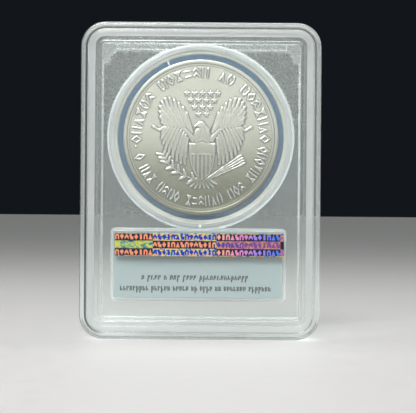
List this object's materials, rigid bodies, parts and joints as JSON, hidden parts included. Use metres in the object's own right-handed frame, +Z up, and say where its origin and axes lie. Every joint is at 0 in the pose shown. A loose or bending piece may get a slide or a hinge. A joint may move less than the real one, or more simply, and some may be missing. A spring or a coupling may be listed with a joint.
{
  "type": "graded coin slab",
  "caption": "Sealed clear plastic coin holder: two stepped shells around a silver coin in a ring gasket, with a paper label card and a holographic strip.",
  "frame": {"origin": "middle of the slab's bottom edge, the label end it stands on, centred in width and thickness", "axes": "+Z up along the slab's length from the label end to the coin end, +Y from the back with the holographic strip to the front, +X to the right seen from the back"},
  "size_m": [0.0624, 0.008, 0.0825],
  "materials": {
    "clear_plastic": "clear polished polystyrene, moulded",
    "gasket": "clear soft elastomer",
    "coin_silver": "satin struck silver",
    "label_paper": "matt printed card, grey-blue",
    "hologram_foil": "iridescent embossed foil sticker"
  },
  "bodies": {
    "root": {"rear_shell": "clear_plastic", "front_shell": "clear_plastic", "coin_gasket": "gasket", "coin": "coin_silver", "label_card": "label_paper", "hologram_strip": "hologram_foil"}
  },
  "joints": []
}
